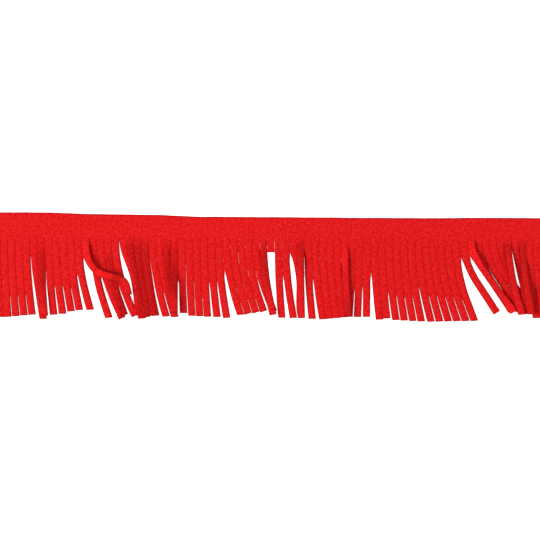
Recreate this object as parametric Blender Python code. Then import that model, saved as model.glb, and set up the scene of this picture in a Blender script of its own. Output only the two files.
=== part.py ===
"""Fringe trim: a cut length of faux suede, slit into strands along one side and lying flat.

The uncut band runs along X. The strands point towards -Y, and each lies on the surface or on
the strands that were laid before it. The tables are in millimetres and the mesh is in metres.
Run it with blender --background --python part.py, or from the text editor.
"""

from collections import namedtuple
from math import cos, pi, sin

import bmesh
import bpy
from mathutils import Vector

MM = 0.001

# The sheet that the trim is cut from
LENGTH = 300.0
THICKNESS = 1.0
STRANDS = 84
SLIT = 0.3
PITCH = (LENGTH + SLIT) / STRANDS
STRAND_WIDTH = PITCH - SLIT

# Width of the uncut band, which was cut by hand and narrows along its length
BandWidth = namedtuple("BandWidth", "x width")
BAND_WIDTHS = [
    BandWidth(-150.0, 11.9),
    BandWidth(-110.0, 12.0),
    BandWidth(-80.0, 11.3),
    BandWidth(-56.0, 11.1),
    BandWidth(-32.0, 10.3),
    BandWidth(74.0, 10.1),
    BandWidth(108.0, 10.4),
    BandWidth(150.0, 10.3),
]
BAND_ROWS = 3

# Strands that lie alike, from the left: how far the tips of the first and the last lean
# towards +X and drop below the slits, the share of the drop in which a strand bends, how far
# it bows sideways half way, and whether it falls over the others after they have settled
Lock = namedtuple("Lock", "strands lean_first lean_last drop_first drop_last bent_by bow falls_last")
LOCKS = [
    Lock(6, 1.5, 1.8, 38.8, 38.7, 0.8, 0.0, False),
    Lock(4, 1.8, 2.8, 38.6, 37.5, 0.8, 0.0, False),
    Lock(1, 4.6, 4.6, 39.5, 39.5, 0.5, 0.0, False),
    Lock(3, 1.8, 3.3, 37.9, 37.0, 0.8, 0.0, False),
    Lock(2, 3.8, 4.2, 35.8, 35.2, 0.8, 0.0, False),
    Lock(1, 5.9, 5.9, 35.0, 35.0, 0.8, 0.0, False),
    Lock(1, 20.8, 20.8, 27.0, 27.0, 0.8, 0.0, True),
    Lock(1, 7.7, 7.7, 38.8, 38.8, 0.8, 0.0, False),
    Lock(1, 10.6, 10.6, 39.0, 39.0, 0.8, 0.0, False),
    Lock(1, 8.2, 8.2, 37.5, 37.5, 0.8, 0.0, False),
    Lock(1, 9.6, 9.6, 37.9, 37.9, 0.8, 0.0, False),
    Lock(1, 9.6, 9.6, 39.1, 39.1, 0.8, 3.1, False),
    Lock(1, 8.3, 8.3, 38.3, 38.3, 0.8, 1.9, False),
    Lock(1, 6.5, 6.5, 37.6, 37.6, 0.8, 0.9, False),
    Lock(1, 5.4, 5.4, 37.7, 37.7, 0.8, 0.4, False),
    Lock(2, 6.8, 7.5, 38.1, 38.3, 0.8, 0.4, False),
    Lock(1, 3.6, 3.6, 36.0, 36.0, 0.8, 0.0, False),
    Lock(2, 0.1, 0.9, 36.2, 36.4, 0.8, 0.0, False),
    Lock(3, 1.4, 1.8, 37.7, 38.1, 0.8, 0.0, False),
    Lock(2, 2.8, 3.9, 38.2, 38.6, 0.8, 0.0, False),
    Lock(4, 7.0, 7.4, 37.1, 35.4, 0.8, 0.0, False),
    Lock(1, 8.7, 8.7, 35.4, 35.4, 0.8, 0.0, False),
    Lock(1, 4.8, 4.8, 37.0, 37.0, 0.8, 0.0, False),
    Lock(1, 0.1, 0.1, 6.8, 6.8, 0.8, 0.0, False),
    Lock(2, 1.9, 3.9, 38.4, 38.5, 0.8, 0.0, False),
    Lock(1, 4.0, 4.0, 37.2, 37.2, 0.8, 2.2, False),
    Lock(2, 0.6, 2.3, 38.5, 38.9, 0.8, 0.0, False),
    Lock(4, 3.8, 3.2, 39.1, 38.1, 0.8, 0.0, False),
    Lock(1, 1.7, 1.7, 37.4, 37.4, 0.8, 0.0, True),
    Lock(1, -1.4, -1.4, 37.8, 37.8, 0.8, 0.0, False),
    Lock(2, -0.9, -0.1, 37.9, 37.8, 0.8, 0.0, False),
    Lock(2, 2.6, 2.6, 39.1, 38.5, 0.8, 0.0, False),
    Lock(4, 3.4, 5.0, 39.3, 39.9, 0.8, 0.0, False),
    Lock(6, 6.1, 9.2, 40.0, 39.5, 0.8, 0.0, False),
    Lock(1, 16.4, 16.4, 35.5, 35.5, 0.6, 0.0, False),
    Lock(1, 20.6, 20.6, 35.1, 35.1, 0.35, 0.0, True),
    Lock(1, 16.4, 16.4, 34.6, 34.6, 0.6, 0.0, False),
    Lock(1, 17.5, 17.5, 34.9, 34.9, 0.5, 0.0, False),
    Lock(1, 15.9, 15.9, 29.8, 29.8, 0.6, 0.0, False),
    Lock(1, 9.2, 9.2, 35.0, 35.0, 0.8, 2.6, False),
    Lock(1, 6.7, 6.7, 36.3, 36.3, 0.8, 0.0, False),
    Lock(1, 6.8, 6.8, 36.0, 36.0, 0.8, 1.4, False),
    Lock(1, 4.2, 4.2, 36.1, 36.1, 0.8, 0.0, True),
    Lock(2, 3.4, 2.9, 38.0, 38.0, 0.8, 0.0, False),
    Lock(5, 2.4, 1.9, 37.9, 37.8, 0.8, 0.0, False),
]

# One strand is kinked, and lies across four others
Turn = namedtuple("Turn", "lean drop")
KINKED_STRAND = 17
KINKED_ROUTE = [
    Turn(0.0, 0.0),
    Turn(0.1, 3.5),
    Turn(0.6, 7.0),
    Turn(2.3, 12.4),
    Turn(6.4, 16.8),
    Turn(12.1, 18.6),
    Turn(16.6, 19.8),
    Turn(19.4, 22.4),
    Turn(20.8, 27.5),
]

# How the strands settle on each other
CLEARANCE = 0.15
EDGE_MARGIN = 0.03
RAMP = 9.0
RAMP_CREST = 1.5
NEIGHBOURS = 8

SEGMENTS = 11
ROUTE_SEGMENTS = 22
SAMPLES_PER_SEGMENT = 4
SAMPLES_ACROSS = 15

SUEDE_COLOUR = "E41E1F"
SUEDE_ROUGHNESS = 0.95


def clear_scene():
    for old in list(bpy.data.objects):
        bpy.data.objects.remove(old, do_unlink=True)


def linear_colour(hex_code):
    def linear(value):
        return value / 12.92 if value <= 0.04045 else ((value + 0.055) / 1.055) ** 2.4

    channels = [int(hex_code[i:i + 2], 16) / 255 for i in (0, 2, 4)]
    return [linear(value) for value in channels] + [1.0]


def suede_material():
    material = bpy.data.materials.new("suede")
    material.use_nodes = True
    shader = material.node_tree.nodes["Principled BSDF"]
    shader.inputs["Base Color"].default_value = linear_colour(SUEDE_COLOUR)
    shader.inputs["Roughness"].default_value = SUEDE_ROUGHNESS
    shader.inputs["Metallic"].default_value = 0.0
    return material


def band_width(x):
    """Width of the uncut band at x, eased from one row of the table to the next."""
    for start, end in zip(BAND_WIDTHS, BAND_WIDTHS[1:]):
        if x <= end.x:
            break
    share = min(max((x - start.x) / (end.x - start.x), 0.0), 1.0)
    eased = (1.0 - cos(pi * share)) / 2.0
    return start.width + (end.width - start.width) * eased


def bend(share, bent_by):
    """Part of its lean that a strand has at a share of its drop: first curved, then straight."""
    if share < bent_by:
        return share * share / (2.0 * bent_by - bent_by * bent_by)
    return (share - bent_by / 2.0) / (1.0 - bent_by / 2.0)


def curved_line(lean, drop, bent_by, bow):
    points = []
    for step in range(SEGMENTS + 1):
        share = step / SEGMENTS
        sideways = lean * bend(share, bent_by) + bow * sin(pi * share) ** 2
        points.append(Vector((sideways, -drop * share)))
    return points


def routed_line(turns):
    """Even steps along a smooth curve through the turns."""
    knots = [Vector((turn.lean, -turn.drop)) for turn in turns]
    knots = [-knots[1]] + knots + [2.0 * knots[-1] - knots[-2]]
    fine = []
    for before, start, end, after in zip(knots, knots[1:], knots[2:], knots[3:]):
        for step in range(ROUTE_SEGMENTS):
            t = step / ROUTE_SEGMENTS
            fine.append(0.5 * (2.0 * start + (end - before) * t
                               + (2.0 * before - 5.0 * start + 4.0 * end - after) * t * t
                               + (3.0 * start - before - 3.0 * end + after) * t * t * t))
    fine.append(knots[-2])
    lengths = [0.0]
    for start, end in zip(fine, fine[1:]):
        lengths.append(lengths[-1] + (end - start).length)
    points = []
    for step in range(ROUTE_SEGMENTS + 1):
        wanted = lengths[-1] * step / ROUTE_SEGMENTS
        index = max(i for i, length in enumerate(lengths[:-1]) if length <= wanted)
        share = (wanted - lengths[index]) / (lengths[index + 1] - lengths[index])
        points.append(fine[index].lerp(fine[index + 1], share))
    return points


class Strand:
    """A strand in plan: its centre line, the direction across it, and its edges' heights."""

    def __init__(self, number, line, falls_last):
        self.number = number
        self.falls_last = falls_last
        root = Vector((-LENGTH / 2.0 + number * PITCH + STRAND_WIDTH / 2.0, 0.0))
        self.line = [root + point for point in line]
        self.across = [Vector((1.0, 0.0))]
        for before, after in zip(self.line, self.line[2:] + [self.line[-1]]):
            along = (after - before).normalized()
            self.across.append(Vector((-along.y, along.x)))
        self.distance = [0.0]
        for start, end in zip(self.line, self.line[1:]):
            self.distance.append(self.distance[-1] + (end - start).length)
        self.left = [0.0] * len(self.line)
        self.right = [0.0] * len(self.line)
        self.low_x = min(point.x for point in self.line) - STRAND_WIDTH
        self.high_x = max(point.x for point in self.line) + STRAND_WIDTH

    def point(self, station, side):
        """Plan position of a place across the strand, with side from -1 (left) to 1 (right)."""
        index = min(int(station), len(self.line) - 2)
        share = station - index
        centre = self.line[index].lerp(self.line[index + 1], share)
        across = self.across[index].lerp(self.across[index + 1], share)
        return centre + across * side * STRAND_WIDTH / 2.0

    def top_at(self, place):
        """Height at which another strand would clear this one at a place, or the surface's."""
        if not self.low_x < place.x < self.high_x:
            return 0.0
        height = 0.0
        reach = STRAND_WIDTH / 2.0 + EDGE_MARGIN
        for index in range(len(self.line) - 1):
            start = self.line[index]
            run = self.line[index + 1] - start
            offset = place - start
            share = offset.dot(run) / run.length_squared
            if not -0.05 <= share <= 1.05:
                continue
            share = min(max(share, 0.0), 1.0)
            across = self.across[index].lerp(self.across[index + 1], share)
            sideways = (place - start.lerp(start + run, share)).dot(across)
            if abs(sideways) > reach:
                continue
            side = min(max(sideways / (STRAND_WIDTH / 2.0), -1.0), 1.0)
            left = self.left[index] + (self.left[index + 1] - self.left[index]) * share
            right = self.right[index] + (self.right[index + 1] - self.right[index]) * share
            underside = (left + right) / 2.0 + (right - left) / 2.0 * side
            height = max(height, underside + THICKNESS + CLEARANCE)
        return height


def sides_across():
    """Even places across a strand, from -1 at its left edge to 1 at its right."""
    return [2.0 * sample / (SAMPLES_ACROSS - 1) - 1.0 for sample in range(SAMPLES_ACROSS)]


def resting_edges(supports):
    """Heights of the left and right edges of a flat strand resting on what is under it."""
    sides = list(zip(sides_across(), supports))
    middle = 0.0
    for left_side, left_height in sides:
        for right_side, right_height in sides:
            if left_side <= 0.0 <= right_side and left_side < right_side:
                share = -left_side / (right_side - left_side)
                middle = max(middle, left_height + (right_height - left_height) * share)
    lowest = max((height - middle) / side for side, height in sides if side > 0.0)
    highest = min((middle - height) / -side for side, height in sides if side < 0.0)
    slope = min(max(0.0, lowest), highest)
    return middle - slope, middle + slope


def ramp(distance, reach):
    """1 on the crest, easing to 0 at the end of the ramp."""
    share = min(max((distance - RAMP_CREST) / max(reach - RAMP_CREST, 0.1), 0.0), 1.0)
    return (1.0 + cos(pi * share)) / 2.0


def settle(strand, laid):
    """Raise the strand's edges over the strands laid before it, with a ramp before and after."""
    under = [other for other in laid if abs(other.number - strand.number) <= NEIGHBOURS]
    needs = []
    for sample in range(1, (len(strand.line) - 1) * SAMPLES_PER_SEGMENT + 1):
        station = sample / SAMPLES_PER_SEGMENT
        supports = []
        for side in sides_across():
            place = strand.point(station, side)
            supports.append(max([other.top_at(place) for other in under], default=0.0))
        if max(supports) > 0.0:
            index = min(int(station), len(strand.line) - 2)
            share = station - index
            step = strand.distance[index + 1] - strand.distance[index]
            needs.append((strand.distance[index] + step * share, *resting_edges(supports)))
    for index, here in enumerate(strand.distance):
        for there, left, right in needs:
            part = ramp(abs(here - there), min(RAMP, there))
            if index == 0:
                part = 0.0
            strand.left[index] = max(strand.left[index], left * part)
            strand.right[index] = max(strand.right[index], right * part)


def laid_strands():
    """All the strands, settled in the order in which they fell."""
    strands = []
    for lock in LOCKS:
        for place in range(lock.strands):
            share = place / max(lock.strands - 1, 1)
            lean = lock.lean_first + (lock.lean_last - lock.lean_first) * share
            drop = lock.drop_first + (lock.drop_last - lock.drop_first) * share
            number = len(strands)
            line = curved_line(lean, drop, lock.bent_by, lock.bow)
            if number == KINKED_STRAND:
                line = routed_line(KINKED_ROUTE)
            strands.append(Strand(number, line, lock.falls_last))
    laid = []
    for strand in sorted(strands, key=lambda item: (item.falls_last, item.number)):
        settle(strand, laid)
        laid.append(strand)
    return strands


def add_band(bm):
    """The band's underside, a grid whose lower edge has a short step for each strand and slit.

    Returns the lower edge's vertices, two for each strand, from the left.
    """
    columns = 2 * STRANDS
    bmesh.ops.create_grid(bm, x_segments=columns - 1, y_segments=BAND_ROWS, size=0.5)
    roots = [None] * columns
    for vertex in bm.verts:
        column = round((vertex.co.x + 0.5) * (columns - 1))
        row = round((vertex.co.y + 0.5) * BAND_ROWS)
        x = -LENGTH / 2.0 + (column // 2) * PITCH + (column % 2) * STRAND_WIDTH
        vertex.co = (x, band_width(x) * row / BAND_ROWS, 0.0)
        if row == 0:
            roots[column] = vertex
    return roots


def add_strand(bm, strand, left_root, right_root):
    """The strand's underside, drawn out of its root edge from station to station."""
    edge = bm.edges.get((left_root, right_root))
    left = left_root
    for index in range(1, len(strand.line)):
        drawn = bmesh.ops.extrude_edge_only(bm, edges=[edge])["geom"]
        ends = [item for item in drawn if isinstance(item, bmesh.types.BMVert)]
        ends.sort(key=lambda vertex: (vertex.co - left.co).length)
        left, right = ends
        half = strand.across[index] * STRAND_WIDTH / 2.0
        left_place = strand.line[index] - half
        right_place = strand.line[index] + half
        left.co = (left_place.x, left_place.y, strand.left[index])
        right.co = (right_place.x, right_place.y, strand.right[index])
        edge = bm.edges.get((left, right))


def thicken(bm):
    """Close the sheet: a second copy of the underside, one thickness up, and the cut edges."""
    underside = bm.faces[:]
    copied = bmesh.ops.extrude_face_region(bm, geom=underside, use_keep_orig=True)["geom"]
    raised = [item for item in copied if isinstance(item, bmesh.types.BMVert)]
    bmesh.ops.translate(bm, verts=raised, vec=(0.0, 0.0, THICKNESS))
    bmesh.ops.recalc_face_normals(bm, faces=bm.faces[:])


def centre_on_origin(bm):
    """Put the middle of the trim's plan, at its underside, on the origin."""
    xs = [vertex.co.x for vertex in bm.verts]
    ys = [vertex.co.y for vertex in bm.verts]
    middle = Vector(((min(xs) + max(xs)) / 2.0, (min(ys) + max(ys)) / 2.0, 0.0))
    bmesh.ops.translate(bm, verts=bm.verts[:], vec=-middle)


def fringe_trim():
    bm = bmesh.new()
    roots = add_band(bm)
    for strand in laid_strands():
        left = 2 * strand.number
        add_strand(bm, strand, roots[left], roots[left + 1])
    thicken(bm)
    centre_on_origin(bm)
    bmesh.ops.scale(bm, vec=(MM, MM, MM), verts=bm.verts[:])
    mesh = bpy.data.meshes.new("fringe_trim")
    bm.to_mesh(mesh)
    bm.free()
    mesh.materials.append(suede_material())
    trim = bpy.data.objects.new("fringe_trim", mesh)
    collection = bpy.data.collections.new("fringe trim")
    bpy.context.scene.collection.children.link(collection)
    collection.objects.link(trim)
    return trim


clear_scene()
fringe_trim()
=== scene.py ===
"""Fringe trim in red faux suede: a flat cut length, slit into strands along one side.

The underside of the sheet is laid out strand by strand, each one settled on those that fell
before it. One Geometry Nodes tree gives the sheet its thickness, its crowned strands and its
cut edges, and another one the short fibres that stand on the cuts. The tables are in
millimetres, and the meshes are in metres.
"""

from collections import namedtuple
from math import cos, pi, radians, sin, sqrt

import bpy
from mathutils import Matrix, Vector, noise


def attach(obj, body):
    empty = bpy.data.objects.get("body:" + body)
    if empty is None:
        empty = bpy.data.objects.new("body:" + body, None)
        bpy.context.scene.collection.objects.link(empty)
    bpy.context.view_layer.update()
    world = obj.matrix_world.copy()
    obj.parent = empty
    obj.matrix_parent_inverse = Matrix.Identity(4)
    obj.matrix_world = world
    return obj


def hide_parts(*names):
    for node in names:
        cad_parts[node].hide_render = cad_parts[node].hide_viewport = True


MM = 0.001

# The sheet that the trim is cut from
LENGTH = 300.0
THICKNESS = 1.0
STRANDS = 84
SLIT = 0.3
PITCH = (LENGTH + SLIT) / STRANDS

# The uncut band was cut by hand and narrows along its length: its width at a place in X
BandWidth = namedtuple("BandWidth", "x width")
BAND_WIDTHS = [
    BandWidth(-150.0, 11.9),
    BandWidth(-110.0, 12.0),
    BandWidth(-80.0, 11.3),
    BandWidth(-56.0, 11.1),
    BandWidth(-32.0, 10.3),
    BandWidth(74.0, 10.1),
    BandWidth(108.0, 10.4),
    BandWidth(150.0, 10.3),
]

# Strands that lie alike, from the left: how far the tips of the first and the last lean
# towards +X and drop below the slits, the share of the drop in which a strand bends, how far
# it bows sideways half way, and whether it falls over the others after they have settled
Lock = namedtuple("Lock", "strands lean_first lean_last drop_first drop_last bent_by bow falls_last")
LOCKS = [
    Lock(6, 1.5, 1.8, 38.8, 38.7, 0.8, 0.0, False),
    Lock(4, 1.8, 2.8, 38.6, 37.5, 0.8, 0.0, False),
    Lock(1, 4.6, 4.6, 39.5, 39.5, 0.5, 0.0, False),
    Lock(3, 1.8, 3.3, 37.9, 37.0, 0.8, 0.0, False),
    Lock(2, 3.8, 4.2, 35.8, 35.2, 0.8, 0.0, False),
    Lock(1, 5.9, 5.9, 35.0, 35.0, 0.8, 0.0, False),
    Lock(1, 20.8, 20.8, 27.0, 27.0, 0.8, 0.0, True),
    Lock(1, 7.7, 7.7, 38.8, 38.8, 0.8, 0.0, False),
    Lock(1, 10.6, 10.6, 39.0, 39.0, 0.8, 0.0, False),
    Lock(1, 8.2, 8.2, 37.5, 37.5, 0.8, 0.0, False),
    Lock(1, 9.6, 9.6, 37.9, 37.9, 0.8, 0.0, False),
    Lock(1, 9.6, 9.6, 39.1, 39.1, 0.8, 3.1, False),
    Lock(1, 8.3, 8.3, 38.3, 38.3, 0.8, 1.9, False),
    Lock(1, 6.5, 6.5, 37.6, 37.6, 0.8, 0.9, False),
    Lock(1, 5.4, 5.4, 37.7, 37.7, 0.8, 0.4, False),
    Lock(2, 6.8, 7.5, 38.1, 38.3, 0.8, 0.4, False),
    Lock(1, 3.6, 3.6, 36.0, 36.0, 0.8, 0.0, False),
    Lock(2, 0.1, 0.9, 36.2, 36.4, 0.8, 0.0, False),
    Lock(3, 1.4, 1.8, 37.7, 38.1, 0.8, 0.0, False),
    Lock(2, 2.8, 3.9, 38.2, 38.6, 0.8, 0.0, False),
    Lock(4, 7.0, 7.4, 37.1, 35.4, 0.8, 0.0, False),
    Lock(1, 8.7, 8.7, 35.4, 35.4, 0.8, 0.0, False),
    Lock(1, 4.8, 4.8, 37.0, 37.0, 0.8, 0.0, False),
    Lock(1, 0.1, 0.1, 6.8, 6.8, 0.8, 0.0, False),
    Lock(2, 1.9, 3.9, 38.4, 38.5, 0.8, 0.0, False),
    Lock(1, 4.0, 4.0, 37.2, 37.2, 0.8, 2.2, False),
    Lock(2, 0.6, 2.3, 38.5, 38.9, 0.8, 0.0, False),
    Lock(4, 3.8, 3.2, 39.1, 38.1, 0.8, 0.0, False),
    Lock(1, 1.7, 1.7, 37.4, 37.4, 0.8, 0.0, True),
    Lock(1, -1.4, -1.4, 37.8, 37.8, 0.8, 0.0, False),
    Lock(2, -0.9, -0.1, 37.9, 37.8, 0.8, 0.0, False),
    Lock(2, 2.6, 2.6, 39.1, 38.5, 0.8, 0.0, False),
    Lock(4, 3.4, 5.0, 39.3, 39.9, 0.8, 0.0, False),
    Lock(6, 6.1, 9.2, 40.0, 39.5, 0.8, 0.0, False),
    Lock(1, 16.4, 16.4, 35.5, 35.5, 0.6, 0.0, False),
    Lock(1, 20.6, 20.6, 35.1, 35.1, 0.35, 0.0, True),
    Lock(1, 16.4, 16.4, 34.6, 34.6, 0.6, 0.0, False),
    Lock(1, 17.5, 17.5, 34.9, 34.9, 0.5, 0.0, False),
    Lock(1, 15.9, 15.9, 29.8, 29.8, 0.6, 0.0, False),
    Lock(1, 9.2, 9.2, 35.0, 35.0, 0.8, 2.6, False),
    Lock(1, 6.7, 6.7, 36.3, 36.3, 0.8, 0.0, False),
    Lock(1, 6.8, 6.8, 36.0, 36.0, 0.8, 1.4, False),
    Lock(1, 4.2, 4.2, 36.1, 36.1, 0.8, 0.0, True),
    Lock(2, 3.4, 2.9, 38.0, 38.0, 0.8, 0.0, False),
    Lock(5, 2.4, 1.9, 37.9, 37.8, 0.8, 0.0, False),
]

# Strands whose tips are cut square to the strand, so that they lie slanted
SLANTED_TIPS = (19, 20, 21, 37, 38, 39, 40, 41, 68, 69, 70, 71, 72)

# One strand is kinked, and lies across four others
Turn = namedtuple("Turn", "lean drop")
KINKED_STRAND = 17
KINKED_ROUTE = [
    Turn(0.0, 0.0),
    Turn(0.1, 3.5),
    Turn(0.6, 7.0),
    Turn(2.3, 12.4),
    Turn(6.4, 16.8),
    Turn(12.1, 18.6),
    Turn(16.6, 19.8),
    Turn(19.4, 22.4),
    Turn(20.8, 27.5),
]

# How the strands settle on each other
CLEARANCE = 0.15
EDGE_MARGIN = 0.03
RAMP = 9.0
RAMP_CREST = 1.5
NEIGHBOURS = 8
SHORTEST_RAMP = 0.1
JOINT_OVERLAP = 0.05
SEGMENTS = 11
ROUTE_SEGMENTS = 22
SAMPLES_PER_SEGMENT = 4
SAMPLES_ACROSS = 15

# How narrow a slit between two strands closes up, by the share of the way down, and the
# slits, each named for the strand on its right, that gape from high up
ClosingGap = namedtuple("ClosingGap", "share gap")
CLOSING_GAPS = [
    ClosingGap(0.0, 1.0),
    ClosingGap(0.4, 0.9),
    ClosingGap(0.6, 0.55),
    ClosingGap(0.8, 0.35),
    ClosingGap(1.0, 0.25),
]
GAPING_SLITS = (10, 12, 22, 25, 26, 31, 32, 46, 71, 73, 75, 77)

# The finished sheet: places across a strand, rows of the band counted from its cut edge, and
# how the slit strands are shaped
SIDES = (-1.0, -0.9, -0.66, -0.33, 0.0, 0.33, 0.66, 0.9, 1.0)
BAND_INSETS = (0.0, 0.17, 0.55, 1.2)
BAND_ROWS = 7
ROWS_PER_SEGMENT = 2.5
TIP_INSETS = (0.55, 0.17, 0.0)
TIP_RUN = 4.0
TIP_LEVELLING = 0.7
SLIT_LEFT_OPEN = 0.012
# OPEN_SLIT and CLOSED_EDGE set how strongly a strand's side is rounded and darkened: the darkening
# is painted shade, faint on a closed slit and full on a slit that opens
OPEN_SLIT = 0.5
CLOSED_EDGE = 0.32
EDGE_RUN = 0.62
EDGE_ROUNDING = 0.26
CROWN = 0.12
CROWN_RUN = 6.0
SLIT_OPENS_OVER = 3.0
UNEVENNESS = 0.08
UNEVENNESS_SCALE = 220.0

# How a hand-cut edge wobbles: its size, the waves per millimetre of its two parts, the second
# part's share, and where the noise is read for that part and for the band's edge
CUT_WOBBLE = 0.05
NEAR_WAVES = 0.55
FAR_WAVES = 0.14
FAR_SHARE = 1.5
FAR_PHASE = 5.0
BAND_PHASE = 90.0
WOBBLE_KEPT_TO_EDGE = 8

# How far the CAD's sheet moved when it was centred on the origin
LAYOUT_MOVED = Vector((-0.9472, 14.2017, 0.0))

# The cut fibres, drawn thicker than real ones so that they show, and their fixed seed
FIBRE_LENGTH = 0.35
FIBRE_RADIUS = 0.03
FIBRES_PER_SQUARE_MM = 1.6
MICROFIBRE_SEED = 7

# Where the photograph's centre falls, and how wide the camera sees there
VIEW_CENTRE = Vector((0.51, -1.12))
VIEW_WIDTH = 260.6
VIEW_ROLL = 0.265
LENS = 85.0
SENSOR = 36.0


def linear_colour(hex_code):
    """The linear colour, with alpha, of an sRGB hex code."""
    def linear(value):
        return value / 12.92 if value <= 0.04045 else ((value + 0.055) / 1.055) ** 2.4

    channels = [int(hex_code[i:i + 2], 16) / 255 for i in (0, 2, 4)]
    return [linear(value) for value in channels] + [1.0]


def add_node(tree, kind, settings=None, inputs=None):
    """Add a node with its settings, and give its inputs a value each or a link from a socket."""
    node = tree.nodes.new(kind)
    for name, value in (settings or {}).items():
        setattr(node, name, value)
    for name, value in (inputs or {}).items():
        if isinstance(value, bpy.types.NodeSocket):
            tree.links.new(value, node.inputs[name])
        else:
            node.inputs[name].default_value = value
    return node


def eased(rows, place):
    """Value at a place, eased from one row of the table to the next."""
    for start, end in zip(rows, rows[1:]):
        if place <= end[0]:
            break
    share = min(max((place - start[0]) / (end[0] - start[0]), 0.0), 1.0)
    return start[1] + (end[1] - start[1]) * (1.0 - cos(pi * share)) / 2.0


def slit_middle(number):
    """Place in X of the slit at the left of a strand."""
    return -LENGTH / 2.0 - SLIT / 2.0 + number * PITCH


def smoothed(values, place):
    """Value of a smooth curve through the values, at a place counted in steps between them."""
    index = min(int(place), len(values) - 2)
    t = place - index
    start, end = values[index], values[index + 1]
    before = values[index - 1] if index else start * 2.0 - end
    after = values[index + 2] if index + 2 < len(values) else end * 2.0 - start
    return (start * 2.0 + (end - before) * t
            + (before * 2.0 - start * 5.0 + end * 4.0 - after) * t * t
            + (start * 3.0 - before - end * 3.0 + after) * t * t * t) * 0.5


def bend(share, bent_by):
    """Part of its lean that a strand has at a share of its drop: first curved, then straight."""
    if share < bent_by:
        return share * share / (2.0 * bent_by - bent_by * bent_by)
    return (share - bent_by / 2.0) / (1.0 - bent_by / 2.0)


def curved_line(lean, drop, bent_by, bow):
    points = []
    for step in range(SEGMENTS + 1):
        share = step / SEGMENTS
        sideways = lean * bend(share, bent_by) + bow * sin(pi * share) ** 2
        points.append(Vector((sideways, -drop * share)))
    return points


def routed_line(turns):
    """Even steps along a smooth curve through the turns."""
    knots = [Vector((lean, -drop)) for lean, drop in turns]
    fine_steps = (len(knots) - 1) * ROUTE_SEGMENTS
    fine = [smoothed(knots, step / ROUTE_SEGMENTS) for step in range(fine_steps + 1)]
    lengths = [0.0]
    for start, end in zip(fine, fine[1:]):
        lengths.append(lengths[-1] + (end - start).length)
    points = []
    for step in range(ROUTE_SEGMENTS + 1):
        wanted = lengths[-1] * step / ROUTE_SEGMENTS
        index = max(i for i, length in enumerate(lengths[:-1]) if length <= wanted)
        share = (wanted - lengths[index]) / (lengths[index + 1] - lengths[index])
        points.append(fine[index].lerp(fine[index + 1], share))
    return points


class Strand:
    """A strand in plan: its centre line, the direction across it, and its edges' heights."""

    def __init__(self, number, line, falls_last):
        self.number = number
        self.falls_last = falls_last
        self.left_x = slit_middle(number) + SLIT / 2.0
        self.width = slit_middle(number + 1) - SLIT / 2.0 - self.left_x
        root = Vector((self.left_x + self.width / 2.0, 0.0))
        self.line = [root + point for point in line]
        self.across = [Vector((1.0, 0.0))]
        for before, after in zip(self.line, self.line[2:] + [self.line[-1]]):
            along = (after - before).normalized()
            self.across.append(Vector((-along.y, along.x)))
        self.distance = [0.0]
        for start, end in zip(self.line, self.line[1:]):
            self.distance.append(self.distance[-1] + (end - start).length)
        self.left = [0.0] * len(self.line)
        self.right = [0.0] * len(self.line)
        self.low_x = min(point.x for point in self.line) - self.width
        self.high_x = max(point.x for point in self.line) + self.width

    def point(self, station, side):
        """Plan position of a place across the strand, with side from -1 (left) to 1 (right)."""
        index = min(int(station), len(self.line) - 2)
        share = station - index
        centre = self.line[index].lerp(self.line[index + 1], share)
        across = self.across[index].lerp(self.across[index + 1], share)
        return centre + across * side * self.width / 2.0

    def beside(self, place, reach):
        """How far outside the strand a place is, and the strand's underside height beside it."""
        if not self.low_x < place.x < self.high_x:
            return
        for index in range(len(self.line) - 1):
            start = self.line[index]
            run = self.line[index + 1] - start
            share = (place - start).dot(run) / run.length_squared
            if not -JOINT_OVERLAP <= share <= 1.0 + JOINT_OVERLAP:
                continue
            share = min(max(share, 0.0), 1.0)
            across = self.across[index].lerp(self.across[index + 1], share)
            sideways = (place - start.lerp(start + run, share)).dot(across)
            half = self.width / 2.0
            if abs(sideways) > reach + half:
                continue
            side = min(max(sideways / half, -1.0), 1.0)
            left = self.left[index] + (self.left[index + 1] - self.left[index]) * share
            right = self.right[index] + (self.right[index + 1] - self.right[index]) * share
            yield abs(sideways) - half, (left + right) / 2.0 + (right - left) / 2.0 * side

    def top_at(self, place):
        """Height at which another strand would clear this one at a place, or the surface's."""
        undersides = [underside for _, underside in self.beside(place, EDGE_MARGIN)]
        return max(undersides) + THICKNESS + CLEARANCE if undersides else 0.0

    def gap_to(self, place, height, reach):
        """Free way from a place to this strand's edge, where they lie at about one height."""
        gaps = [gap for gap, underside in self.beside(place, reach)
                if abs(underside - height) < THICKNESS]
        return max(min(gaps, default=reach), 0.0)


def sides_across():
    """Even places across a strand, from -1 at its left edge to 1 at its right."""
    return [2.0 * sample / (SAMPLES_ACROSS - 1) - 1.0 for sample in range(SAMPLES_ACROSS)]


def resting_edges(supports):
    """Heights of the left and right edges of a flat strand resting on what is under it."""
    sides = list(zip(sides_across(), supports))
    middle = 0.0
    for left_side, left_height in sides:
        for right_side, right_height in sides:
            if left_side <= 0.0 <= right_side and left_side < right_side:
                share = -left_side / (right_side - left_side)
                middle = max(middle, left_height + (right_height - left_height) * share)
    lowest = max((height - middle) / side for side, height in sides if side > 0.0)
    highest = min((middle - height) / -side for side, height in sides if side < 0.0)
    slope = min(max(0.0, lowest), highest)
    return middle - slope, middle + slope


def ramp(distance, reach):
    """1 on the crest, easing to 0 at the end of the ramp."""
    share = min(max((distance - RAMP_CREST) / max(reach - RAMP_CREST, SHORTEST_RAMP), 0.0), 1.0)
    return (1.0 + cos(pi * share)) / 2.0


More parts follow.
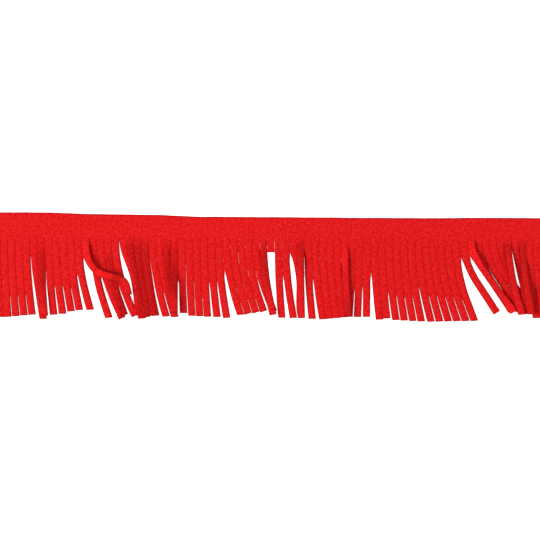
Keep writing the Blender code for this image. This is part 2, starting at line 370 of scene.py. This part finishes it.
def settle(strand, laid):
    """Raise the strand's edges over the strands laid before it, with a ramp before and after."""
    under = [other for other in laid if abs(other.number - strand.number) <= NEIGHBOURS]
    needs = []
    for sample in range(1, (len(strand.line) - 1) * SAMPLES_PER_SEGMENT + 1):
        station = sample / SAMPLES_PER_SEGMENT
        supports = []
        for side in sides_across():
            place = strand.point(station, side)
            supports.append(max([other.top_at(place) for other in under], default=0.0))
        if max(supports) > 0.0:
            index = min(int(station), len(strand.line) - 2)
            share = station - index
            step = strand.distance[index + 1] - strand.distance[index]
            needs.append((strand.distance[index] + step * share, *resting_edges(supports)))
    for index, here in enumerate(strand.distance):
        for there, left, right in needs:
            part = ramp(abs(here - there), min(RAMP, there))
            if index == 0:
                part = 0.0
            strand.left[index] = max(strand.left[index], left * part)
            strand.right[index] = max(strand.right[index], right * part)


def laid_strands():
    """All the strands, settled in the order in which they fell."""
    strands = []
    for lock in LOCKS:
        for place in range(lock.strands):
            share = place / max(lock.strands - 1, 1)
            lean = lock.lean_first + (lock.lean_last - lock.lean_first) * share
            drop = lock.drop_first + (lock.drop_last - lock.drop_first) * share
            number = len(strands)
            line = curved_line(lean, drop, lock.bent_by, lock.bow)
            if number == KINKED_STRAND:
                line = routed_line(KINKED_ROUTE)
            strands.append(Strand(number, line, lock.falls_last))
    laid = []
    for strand in sorted(strands, key=lambda item: (item.falls_last, item.number)):
        settle(strand, laid)
        laid.append(strand)
    return strands


class Layout:
    """The sheet's underside, point by point, with what the finished sheet needs to know there."""

    def __init__(self):
        self.points = []
        self.faces = []
        self.flat_places = []
        self.cuts = []
        self.crowns = []

    def add(self, point, flat_place, cut, crown):
        """Add a point: cut is 1 on a cut edge, and crown is 1 at a crowned strand's side."""
        self.points.append(point)
        self.flat_places.append(flat_place)
        self.cuts.append(1.0 - sqrt(1.0 - min(cut, 1.0) ** 2))
        self.crowns.append(crown)
        return len(self.points) - 1

    def fill(self, upper, lower):
        """Join two rows of points with faces that look down."""
        for left in range(len(upper) - 1):
            self.faces.append((upper[left], upper[left + 1], lower[left + 1], lower[left]))

    def mesh(self, name):
        """The layout as a mesh in metres, where the CAD's sheet is."""
        mesh = bpy.data.meshes.new(name)
        mesh.from_pydata([(point + LAYOUT_MOVED) * MM for point in self.points], [], self.faces)
        flat = mesh.attributes.new("flat_place", "FLOAT_VECTOR", "POINT")
        flat.data.foreach_set("vector", [v * MM for place in self.flat_places for v in place])
        for attribute, values in (("cut", self.cuts), ("crown", self.crowns)):
            mesh.attributes.new(attribute, "FLOAT", "POINT").data.foreach_set("value", values)
        return mesh


def wobble(place, phase):
    """How far a hand-cut edge strays from its line at a place along it."""
    near = noise.noise(Vector((place * NEAR_WAVES, phase, 0.0)))
    far = noise.noise(Vector((place * FAR_WAVES, phase, FAR_PHASE)))
    return CUT_WOBBLE * (near + FAR_SHARE * far)


def inward_cut(distance):
    """1 on a cut edge, falling to 0 where its rounding ends."""
    return max(1.0 - distance / EDGE_RUN, 0.0)


def beside_slit(strand, share, side, height, others):
    """How far an edge reaches out to close a narrow slit, and how open the slit stays (0 to 1)."""
    if (strand.number, side) in ((0, -1), (STRANDS - 1, 1)):
        return 0.0, 1.0
    place = strand.point(share * (len(strand.line) - 1), side)
    gapes = strand.number + (side > 0) in GAPING_SLITS
    widest = 2.0 * SLIT if gapes else 2.0 * eased(CLOSING_GAPS, share)
    near = [other for other in others if 0 < abs(other.number - strand.number) <= NEIGHBOURS]
    gap = min(other.gap_to(place, height, widest) for other in near)
    closed = max(min(gap, widest - gap), min(gap, SLIT), SLIT_LEFT_OPEN) - SLIT_LEFT_OPEN
    return closed / 2.0, min((gap - closed) / OPEN_SLIT, 1.0)


def lay_band(layout, strands):
    """The uncut band, from its cut edge down to the roots. Returns the row of root points."""
    closed = (SLIT - SLIT_LEFT_OPEN) / 2.0
    columns = []
    for strand in strands:
        left = strand.left_x - closed * (strand.number > 0)
        right = strand.left_x + strand.width + closed * (strand.number < STRANDS - 1)
        columns += [left + (right - left) * (1.0 + side) / 2.0 for side in SIDES]
    rows = []
    even = [(step + 1) / BAND_ROWS for step in range(BAND_ROWS)]
    for row in range(len(BAND_INSETS) + BAND_ROWS):
        points = []
        for x in columns:
            height = eased(BAND_WIDTHS, x) + wobble(x, BAND_PHASE)
            if row < len(BAND_INSETS):
                y = height - BAND_INSETS[row]
            else:
                y = (height - BAND_INSETS[-1]) * (1.0 - even[row - len(BAND_INSETS)])
            ends = min(x + LENGTH / 2.0, LENGTH / 2.0 - x)
            # The cut mark rounds and darkens the band's top edge and ends: partly denser felt,
            # partly painted shade along the edge
            cut = max(inward_cut(height - y), inward_cut(ends))
            points.append(layout.add(Vector((x, y, 0.0)), (x, y, 0.0), cut, 0.0))
        if rows:
            layout.fill(rows[-1], points)
        rows.append(points)
    return rows[-1]


def lay_strand(layout, strand, strands, roots):
    """A strand, from its root points down to its tip."""
    last = len(strand.line) - 1
    length = strand.distance[-1]
    steps = round(last * ROWS_PER_SEGMENT)
    depths = [length * step / steps for step in range(1, steps)]
    depths += [length - inset for inset in TIP_INSETS]
    end = (strand.line[-1] - strand.line[-2]).normalized()
    level = 0.0 if strand.number in SLANTED_TIPS else TIP_LEVELLING * end.x / -end.y
    above = roots
    for depth in depths:
        station = last * depth / length
        centre = smoothed(strand.line, station)
        across = smoothed(strand.across, station).normalized()
        left, right = smoothed(strand.left, station), smoothed(strand.right, station)
        halves, edges = {}, {}
        opened = min(depth / SLIT_OPENS_OVER, 1.0)
        for side, height in ((-1, left), (1, right)):
            reach, gaping = beside_slit(strand, depth / length, side, height, strands)
            halves[side] = strand.width / 2.0 + reach
            # How much this side is rounded and darkened: the darkening is painted shadow, full where
            # the slit opens or the strand lies over another, faint where the slit is closed
            edges[side] = CLOSED_EDGE + (1.0 - CLOSED_EDGE) * gaping * opened
        crowned = min(depth / CROWN_RUN, 1.0)
        nearing = max(1.0 - (length - depth) / TIP_RUN, 0.0)
        points = []
        for side in SIDES:
            half = halves[1 if side > 0.0 else -1]
            edge = edges[1 if side > 0.0 else -1]
            phase = strand.number * 2.0 + (side > 0.0)
            stray = wobble(depth, phase) * opened * abs(side) ** WOBBLE_KEPT_TO_EDGE
            place = centre + across * (side * half + stray) + end * (side * half * level * nearing)
            height = max((left + right) / 2.0 + (right - left) / 2.0 * side, 0.0)
            inward = (1.0 - abs(side)) * half
            cut = max(inward_cut(inward) * edge, inward_cut(length - depth))
            flat_place = (strand.left_x + strand.width * (1.0 + side) / 2.0, -depth, 0.0)
            crown = side * side * crowned
            points.append(layout.add(Vector((*place, height)), flat_place, cut, crown))
        layout.fill(above, points)
        above = points


def sheet_tree():
    """Geometry Nodes that give a laid-out underside its thickness, crowns and cut edges."""
    tree = bpy.data.node_groups.new("cut suede sheet", "GeometryNodeTree")
    tree.interface.new_socket("Underside", in_out="INPUT", socket_type="NodeSocketGeometry")
    for size in ("Thickness", "Crown", "Edge Rounding", "Unevenness", "Unevenness Scale"):
        tree.interface.new_socket(size, in_out="INPUT", socket_type="NodeSocketFloat")
    tree.interface.new_socket("Suede", in_out="INPUT", socket_type="NodeSocketMaterial")
    tree.interface.new_socket("Sheet", in_out="OUTPUT", socket_type="NodeSocketGeometry")
    given = add_node(tree, "NodeGroupInput").outputs

    cut = add_node(tree, "GeometryNodeInputNamedAttribute", {"data_type": "FLOAT"},
                   {"Name": "cut"}).outputs["Attribute"]
    crown = add_node(tree, "GeometryNodeInputNamedAttribute", {"data_type": "FLOAT"},
                     {"Name": "crown"}).outputs["Attribute"]
    flat = add_node(tree, "GeometryNodeInputNamedAttribute", {"data_type": "FLOAT_VECTOR"},
                    {"Name": "flat_place"}).outputs["Attribute"]

    # The underside's edges lift by half the rounding that the top's edges fall by
    rounding = add_node(tree, "ShaderNodeMath", {"operation": "MULTIPLY"},
                        {0: cut, 1: given["Edge Rounding"]}).outputs[0]
    lift = add_node(tree, "ShaderNodeMath", {"operation": "MULTIPLY"},
                    {0: rounding, 1: 0.5}).outputs[0]
    lifted = add_node(tree, "ShaderNodeCombineXYZ", inputs={"Z": lift}).outputs[0]
    under = add_node(tree, "GeometryNodeSetPosition",
                     inputs={"Geometry": given["Underside"], "Offset": lifted}).outputs[0]

    # The top: one thickness up, lower at the strands' sides and edges, and a little uneven
    raised = add_node(tree, "ShaderNodeCombineXYZ", inputs={"Z": given["Thickness"]}).outputs[0]
    top = add_node(tree, "GeometryNodeExtrudeMesh", {"mode": "FACES"},
                   {"Mesh": under, "Offset": raised, "Individual": False})
    bumps = add_node(tree, "ShaderNodeTexNoise", {"noise_dimensions": "3D"},
                     {"Vector": flat, "Scale": given["Unevenness Scale"], "Detail": 2.0})
    below = add_node(tree, "ShaderNodeMath", {"operation": "MULTIPLY_ADD"},
                     {0: crown, 1: given["Crown"], 2: rounding}).outputs[0]
    dips = add_node(tree, "ShaderNodeMath", {"operation": "MULTIPLY_ADD"},
                    {0: bumps.outputs[0], 1: given["Unevenness"], 2: below}).outputs[0]
    fall = add_node(tree, "ShaderNodeMath", {"operation": "ADD"}, {0: dips, 1: lift}).outputs[0]
    turned = add_node(tree, "ShaderNodeMath", {"operation": "MULTIPLY"},
                      {0: fall, 1: -1.0}).outputs[0]
    lowered = add_node(tree, "ShaderNodeCombineXYZ", inputs={"Z": turned}).outputs[0]
    shaped = add_node(tree, "GeometryNodeSetPosition",
                      inputs={"Geometry": top.outputs["Mesh"], "Selection": top.outputs["Top"],
                              "Offset": lowered}).outputs[0]

    # The layout's faces look down already, so they close the sheet from below
    both = add_node(tree, "GeometryNodeJoinGeometry")
    tree.links.new(under, both.inputs[0])
    tree.links.new(shaped, both.inputs[0])
    closed = add_node(tree, "GeometryNodeMergeByDistance",
                      inputs={"Geometry": both.outputs[0], "Distance": 0.000001}).outputs[0]
    smooth = add_node(tree, "GeometryNodeSetShadeSmooth", inputs={"Geometry": closed}).outputs[0]
    real = add_node(tree, "GeometryNodeRealizeInstances", inputs={"Geometry": smooth}).outputs[0]
    dressed = add_node(tree, "GeometryNodeSetMaterial",
                       inputs={"Geometry": real, "Material": given["Suede"]}).outputs[0]
    add_node(tree, "NodeGroupOutput", inputs={"Sheet": dressed})
    return tree


def fibre_tree():
    """Geometry Nodes that stand short tapered fibres on a sheet's cut edges."""
    tree = bpy.data.node_groups.new("cut fibres", "GeometryNodeTree")
    tree.interface.new_socket("Sheet", in_out="INPUT", socket_type="NodeSocketGeometry")
    for size in ("Fibre Length", "Fibre Radius", "Fibre Density"):
        tree.interface.new_socket(size, in_out="INPUT", socket_type="NodeSocketFloat")
    tree.interface.new_socket("Seed", in_out="INPUT", socket_type="NodeSocketInt")
    tree.interface.new_socket("Suede", in_out="INPUT", socket_type="NodeSocketMaterial")
    tree.interface.new_socket("Fibres", in_out="OUTPUT", socket_type="NodeSocketGeometry")
    given = add_node(tree, "NodeGroupInput").outputs

    cut = add_node(tree, "GeometryNodeInputNamedAttribute", {"data_type": "FLOAT"},
                   {"Name": "cut"}).outputs["Attribute"]
    thick = add_node(tree, "ShaderNodeMath", {"operation": "MULTIPLY"},
                     {0: cut, 1: given["Fibre Density"]}).outputs[0]
    roots = add_node(tree, "GeometryNodeDistributePointsOnFaces", {"distribute_method": "RANDOM"},
                     {"Mesh": given["Sheet"], "Density": thick, "Seed": given["Seed"]})
    fibre = add_node(tree, "GeometryNodeMeshCone", {"fill_type": "NGON"},
                     {"Vertices": 3, "Radius Top": 0.000004,
                      "Radius Bottom": given["Fibre Radius"], "Depth": given["Fibre Length"]})
    upright = add_node(tree, "FunctionNodeAlignRotationToVector", {"axis": "Z"},
                       {"Vector": roots.outputs["Normal"]}).outputs[0]
    tousle = add_node(tree, "FunctionNodeRandomValue", {"data_type": "FLOAT_VECTOR"},
                      {0: (-0.9, -0.9, -3.1), 1: (0.9, 0.9, 3.1), "Seed": given["Seed"]})
    leaning = add_node(tree, "FunctionNodeRotateRotation", {"rotation_space": "LOCAL"},
                       {"Rotation": upright, "Rotate By": tousle.outputs[0]}).outputs[0]
    growth = add_node(tree, "FunctionNodeRandomValue", {"data_type": "FLOAT"},
                      {2: 0.4, 3: 1.1, "Seed": given["Seed"]}).outputs[1]
    stood = add_node(tree, "GeometryNodeInstanceOnPoints",
                     inputs={"Points": roots.outputs["Points"], "Instance": fibre.outputs["Mesh"],
                             "Rotation": leaning, "Scale": growth}).outputs[0]
    real = add_node(tree, "GeometryNodeRealizeInstances", inputs={"Geometry": stood}).outputs[0]
    dressed = add_node(tree, "GeometryNodeSetMaterial",
                       inputs={"Geometry": real, "Material": given["Suede"]}).outputs[0]
    add_node(tree, "NodeGroupOutput", inputs={"Fibres": dressed})
    return tree


def made_by(tree, name, base_mesh, values):
    """A new object with the mesh that the tree makes from the base mesh and its named inputs."""
    made = bpy.data.objects.new(name, base_mesh)
    bpy.context.scene.collection.objects.link(made)
    modifier = made.modifiers.new(tree.name, "NODES")
    modifier.node_group = tree
    for socket in tree.interface.items_tree:
        if socket.in_out == "INPUT" and socket.name in values:
            modifier[socket.identifier] = values[socket.name]
    depsgraph = bpy.context.evaluated_depsgraph_get()
    finished = bpy.data.meshes.new_from_object(
        made.evaluated_get(depsgraph), preserve_all_data_layers=True, depsgraph=depsgraph)
    made.modifiers.remove(modifier)
    made.data = finished
    finished.name = name
    return made


def napped_suede():
    """Faux suede: polyester microfibre felt, dyed red and sanded to a short nap.

    The nap gives the eye a matt, saturated red with a fine mottle where its fibres lie in
    different directions, broad soft patches where it was brushed, and no gloss. The cut edges
    are darker: partly because the felt is compressed by the blade and deeper in colour there,
    and partly as painted shade that stands in for the shadow at the rounded edges, with painted
    shadow lines where a slit opens or one strand lies over another.
    """
    material = bpy.data.materials.new("napped faux suede")
    material.use_nodes = True
    tree = material.node_tree
    shader = tree.nodes["Principled BSDF"]
    flat = add_node(tree, "ShaderNodeAttribute", {"attribute_name": "flat_place"})
    cut = add_node(tree, "ShaderNodeAttribute", {"attribute_name": "cut"}).outputs["Fac"]

    # Tufts of nap are about 0.3 mm across, drawn at 1 mm so that the mottle shows
    tufts = add_node(tree, "ShaderNodeTexNoise", {"noise_dimensions": "3D"},
                     {"Vector": flat.outputs["Vector"], "Scale": 850.0, "Detail": 3.0,
                      "Roughness": 0.6})
    mottle = add_node(tree, "ShaderNodeValToRGB", inputs={"Fac": tufts.outputs[0]})
    mottle.color_ramp.elements[0].position = 0.36
    mottle.color_ramp.elements[0].color = linear_colour("CE0306")
    mottle.color_ramp.elements[1].position = 0.64
    mottle.color_ramp.elements[1].color = linear_colour("E22426")

    # Brushed patches are about 12 mm across
    patches = add_node(tree, "ShaderNodeTexNoise", {"noise_dimensions": "3D"},
                       {"Vector": flat.outputs["Vector"], "Scale": 80.0, "Detail": 1.0})
    patch = add_node(tree, "ShaderNodeMapRange", inputs={
        "Value": patches.outputs[0], "From Min": 0.3, "From Max": 0.7,
        "To Min": 0.0, "To Max": 0.3}).outputs[0]
    brushed = add_node(tree, "ShaderNodeMix", {"data_type": "RGBA"}, {
        0: patch, 6: mottle.outputs[0], 7: linear_colour("D81416")}).outputs[2]
    # Painted shade: the cut edges are darkened toward 7A050C, partly for the denser felt at a cut
    # and partly as painted shade at the rounded edges and painted shadow lines where a slit opens or
    # a strand lies over another
    edge = add_node(tree, "ShaderNodeMath", {"operation": "POWER"}, {0: cut, 1: 0.5}).outputs[0]
    pressed_and_shaded_edge = add_node(tree, "ShaderNodeMath", {"operation": "MULTIPLY"},
                       {0: edge, 1: 0.95}).outputs[0]
    dyed_and_edge_shaded = add_node(tree, "ShaderNodeMix", {"data_type": "RGBA"}, {
        0: pressed_and_shaded_edge, 6: brushed, 7: linear_colour("7A050C")}).outputs[2]

    # Single fibres are about 0.02 mm thick, drawn as 0.3 mm grain
    fibres = add_node(tree, "ShaderNodeTexNoise", {"noise_dimensions": "3D"},
                      {"Vector": flat.outputs["Vector"], "Scale": 3300.0, "Detail": 2.0,
                       "Roughness": 0.7})
    grain = add_node(tree, "ShaderNodeMath", {"operation": "MULTIPLY_ADD"},
                     {0: tufts.outputs[0], 1: 2.0, 2: fibres.outputs[0]}).outputs[0]
    nap = add_node(tree, "ShaderNodeBump", inputs={
        "Height": grain, "Strength": 0.6, "Distance": 0.00006}).outputs[0]
    tree.links.new(dyed_and_edge_shaded, shader.inputs["Base Color"])
    tree.links.new(nap, shader.inputs["Normal"])
    shader.inputs["Roughness"].default_value = 0.95
    shader.inputs["Metallic"].default_value = 0.0
    shader.inputs["IOR"].default_value = 1.5
    shader.inputs["Specular IOR Level"].default_value = 0.08
    shader.inputs["Sheen Weight"].default_value = 0.25
    shader.inputs["Sheen Roughness"].default_value = 0.5
    shader.inputs["Sheen Tint"].default_value = linear_colour("F03436")
    return material


def lit_white_acrylic():
    """Opal acrylic, cast smooth and lit a little from below: plain white with soft shadows."""
    material = bpy.data.materials.new("opal acrylic")
    material.use_nodes = True
    shader = material.node_tree.nodes["Principled BSDF"]
    shader.inputs["Base Color"].default_value = linear_colour("F4F4F4")
    shader.inputs["Roughness"].default_value = 0.9
    shader.inputs["Specular IOR Level"].default_value = 0.1
    shader.inputs["Emission Color"].default_value = linear_colour("FFFFFF")
    shader.inputs["Emission Strength"].default_value = 0.8
    return material


def add_floor():
    """A plain white table under the trim."""
    half = 1.5
    mesh = bpy.data.meshes.new("table_top")
    corners = [(-half, -half, 0.0), (half, -half, 0.0), (half, half, 0.0), (-half, half, 0.0)]
    mesh.from_pydata(corners, [], [(0, 1, 2, 3)])
    mesh.materials.append(lit_white_acrylic())
    floor = bpy.data.objects.new("table_top", mesh)
    bpy.context.scene.collection.objects.link(floor)


def add_lights():
    """A soft, fairly low key light from the left, and an even white fill."""
    lamp = bpy.data.lights.new("soft key", "AREA")
    lamp.shape = "DISK"
    lamp.size = 1.6
    lamp.energy = 95.0
    key = bpy.data.objects.new("soft key", lamp)
    key.location = (-2.6, -0.2, 1.7)
    key.rotation_euler = (-key.location).to_track_quat("-Z", "Y").to_euler()
    bpy.context.scene.collection.objects.link(key)
    world = bpy.data.worlds.new("white room")
    world.use_nodes = True
    world.node_tree.nodes["Background"].inputs["Color"].default_value = linear_colour("FFFFFF")
    world.node_tree.nodes["Background"].inputs["Strength"].default_value = 0.62
    bpy.context.scene.world = world


def add_camera():
    """The photograph's camera: straight above, the trim running out at both sides."""
    lens = bpy.data.cameras.new("camera")
    lens.lens = LENS
    lens.sensor_width = SENSOR
    camera = bpy.data.objects.new("camera", lens)
    distance = VIEW_WIDTH * LENS / SENSOR
    camera.location = Vector((VIEW_CENTRE.x, VIEW_CENTRE.y, distance + THICKNESS)) * MM
    camera.rotation_euler = (0.0, 0.0, radians(VIEW_ROLL))
    bpy.context.scene.collection.objects.link(camera)
    bpy.context.scene.camera = camera


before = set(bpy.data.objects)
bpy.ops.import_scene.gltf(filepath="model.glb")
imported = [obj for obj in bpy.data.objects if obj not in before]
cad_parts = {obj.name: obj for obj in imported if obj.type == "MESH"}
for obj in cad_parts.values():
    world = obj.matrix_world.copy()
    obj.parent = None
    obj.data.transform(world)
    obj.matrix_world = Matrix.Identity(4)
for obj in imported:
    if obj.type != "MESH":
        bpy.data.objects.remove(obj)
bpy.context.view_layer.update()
add_camera()
add_lights()
add_floor()
bpy.context.scene.view_settings.view_transform = "Standard"

suede = napped_suede()
layout = Layout()
strands = laid_strands()
root_row = lay_band(layout, strands)
for strand in strands:
    first = strand.number * len(SIDES)
    lay_strand(layout, strand, strands, root_row[first:first + len(SIDES)])
trim = made_by(sheet_tree(), "suede_fringe", layout.mesh("suede_fringe"), {
    "Thickness": THICKNESS * MM, "Crown": CROWN * MM, "Edge Rounding": EDGE_ROUNDING * MM,
    "Unevenness": UNEVENNESS * MM, "Unevenness Scale": UNEVENNESS_SCALE, "Suede": suede,
})
fuzz = made_by(fibre_tree(), "cut_fibres", trim.data, {
    "Fibre Length": FIBRE_LENGTH * MM, "Fibre Radius": FIBRE_RADIUS * MM,
    "Fibre Density": FIBRES_PER_SQUARE_MM / MM ** 2, "Seed": MICROFIBRE_SEED, "Suede": suede,
})
for piece in (trim, fuzz):
    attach(piece, "root")
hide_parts("fringe_trim")
